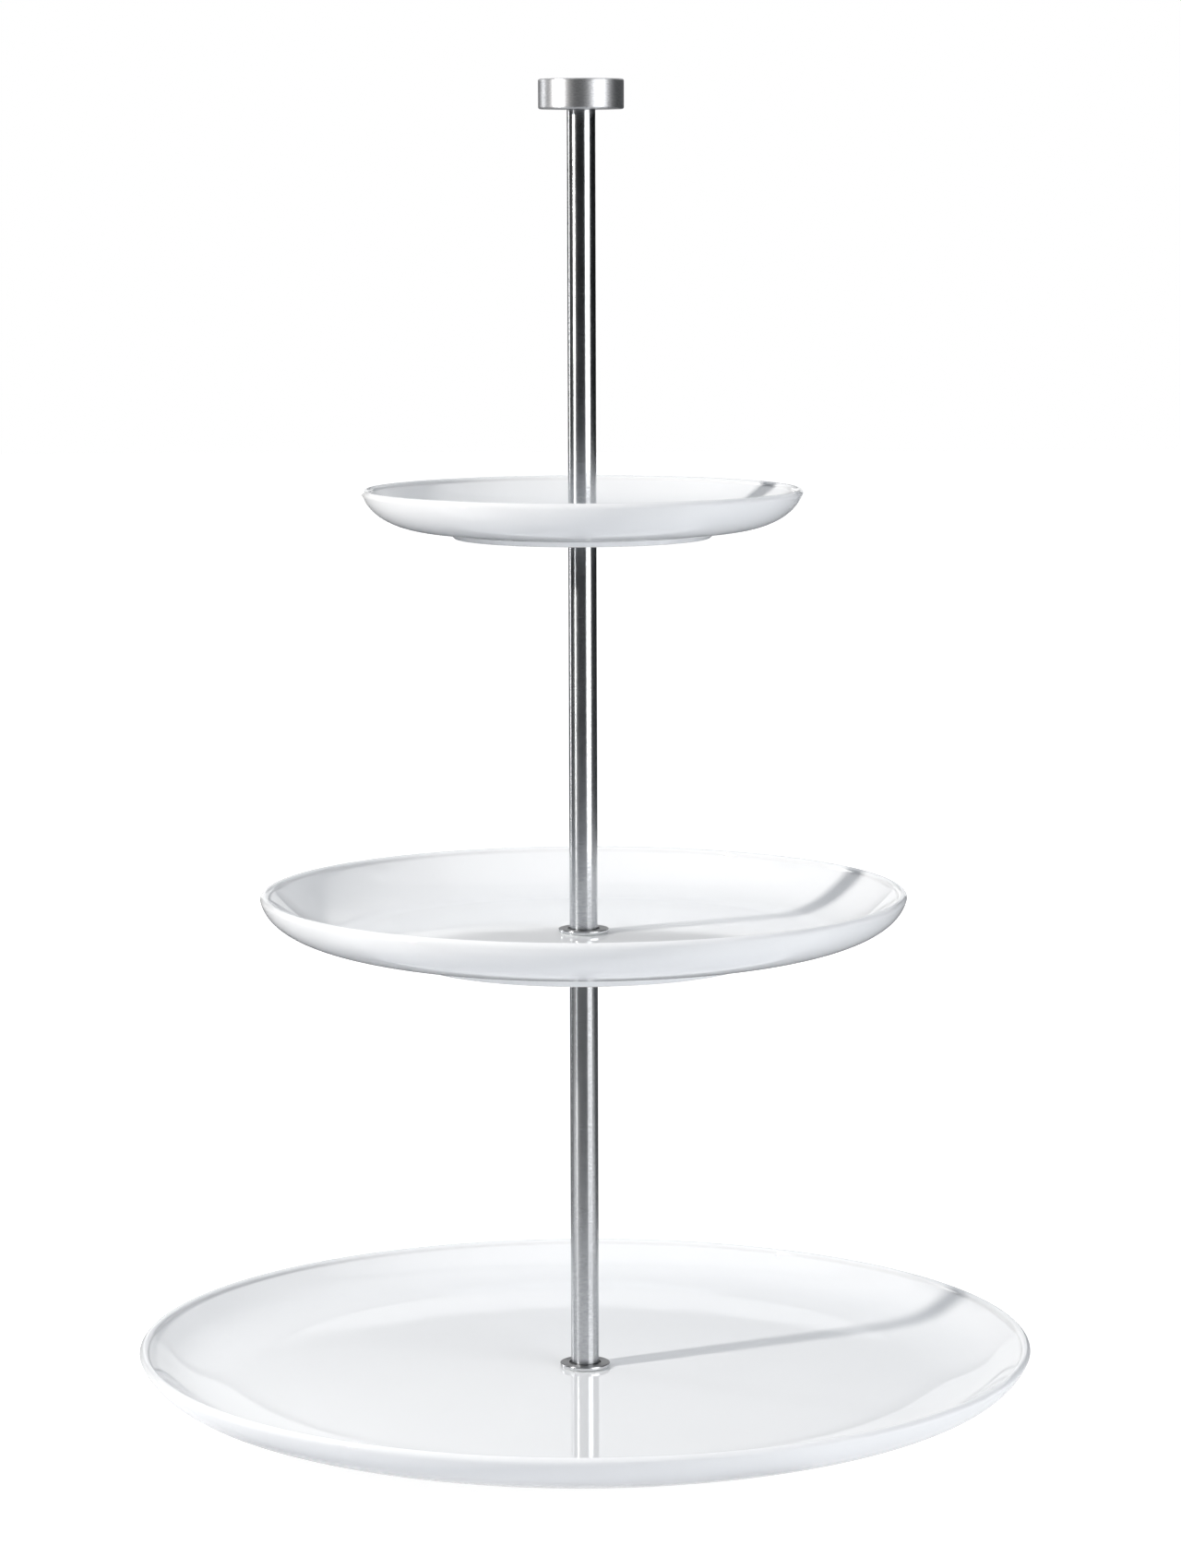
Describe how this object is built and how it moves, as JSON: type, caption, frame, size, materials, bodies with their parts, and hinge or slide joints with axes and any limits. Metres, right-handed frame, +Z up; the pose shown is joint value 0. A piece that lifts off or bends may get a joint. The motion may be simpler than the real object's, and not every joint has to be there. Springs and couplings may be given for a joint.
{
  "type": "tiered cake stand",
  "caption": "Free-standing serving stand: round coupe plates of falling size threaded on a slim screw-together steel pole with a flat knob to lift it by.",
  "frame": {"origin": "on the table, on the pole's axis, in the plane of the bottom plate's foot ring", "axes": "+Z up along the pole to the knob; X and Y are free, because the stand is round"},
  "size_m": [0.32, 0.32, 0.4715],
  "materials": {
    "porcelain": "white porcelain under a clear, very glossy glaze",
    "pole_steel": "drawn stainless tube, polished, with faint lengthwise lines",
    "disc_steel": "turned and polished stainless discs",
    "knob_steel": "turned stainless with fine rings",
    "fastener_steel": "plain zinc-coated or stainless, hidden in use",
    "silicone": "thin milky silicone"
  },
  "bodies": {
    "base": {"bottom_plate": "porcelain", "bottom_plate_upper_seal": "silicone", "bottom_plate_lower_seal": "silicone", "base_washer": "fastener_steel"},
    "lower_pole": {"lower_tube": "pole_steel", "lower_threaded_insert": "fastener_steel", "lower_stud": "fastener_steel", "lower_flange": "disc_steel", "middle_support_disc": "disc_steel"},
    "base_screw": {"base_screw": "fastener_steel"},
    "middle_plate": {"middle_plate": "porcelain", "middle_plate_upper_seal": "silicone", "middle_plate_lower_seal": "silicone"},
    "middle_pole": {"middle_tube": "pole_steel", "middle_threaded_insert": "fastener_steel", "middle_stud": "fastener_steel", "middle_flange": "disc_steel", "top_support_disc": "disc_steel"},
    "top_plate": {"top_plate": "porcelain", "top_plate_upper_seal": "silicone", "top_plate_lower_seal": "silicone"},
    "upper_pole": {"upper_tube": "pole_steel", "upper_threaded_insert": "fastener_steel", "upper_stud": "fastener_steel", "upper_flange": "disc_steel"},
    "knob": {"knob": "knob_steel"}
  },
  "joints": [
    {"name": "lower_pole_turn", "type": "hinge", "parent": "base", "child": "lower_pole", "pos_m": [0, 0, 0.0132], "axis": [0, 0, 1], "continuous": true},
    {"name": "base_screw_unscrew", "type": "hinge", "parent": "lower_pole", "child": "base_screw", "pos_m": [0, 0, 0.0132], "axis": [0, 0, 1], "range_deg": [-3600, 0]},
    {"name": "middle_plate_turn", "type": "hinge", "parent": "lower_pole", "child": "middle_plate", "pos_m": [0, 0, 0.1649], "axis": [0, 0, 1], "continuous": true},
    {"name": "middle_pole_unscrew", "type": "hinge", "parent": "lower_pole", "child": "middle_pole", "pos_m": [0, 0, 0.1718], "axis": [0, 0, 1], "range_deg": [0, 3600]},
    {"name": "top_plate_turn", "type": "hinge", "parent": "middle_pole", "child": "top_plate", "pos_m": [0, 0, 0.3145], "axis": [0, 0, 1], "continuous": true},
    {"name": "upper_pole_unscrew", "type": "hinge", "parent": "middle_pole", "child": "upper_pole", "pos_m": [0, 0, 0.32], "axis": [0, 0, 1], "range_deg": [0, 3600]},
    {"name": "knob_unscrew", "type": "hinge", "parent": "upper_pole", "child": "knob", "pos_m": [0, 0, 0.461], "axis": [0, 0, 1], "range_deg": [0, 2520]}
  ]
}
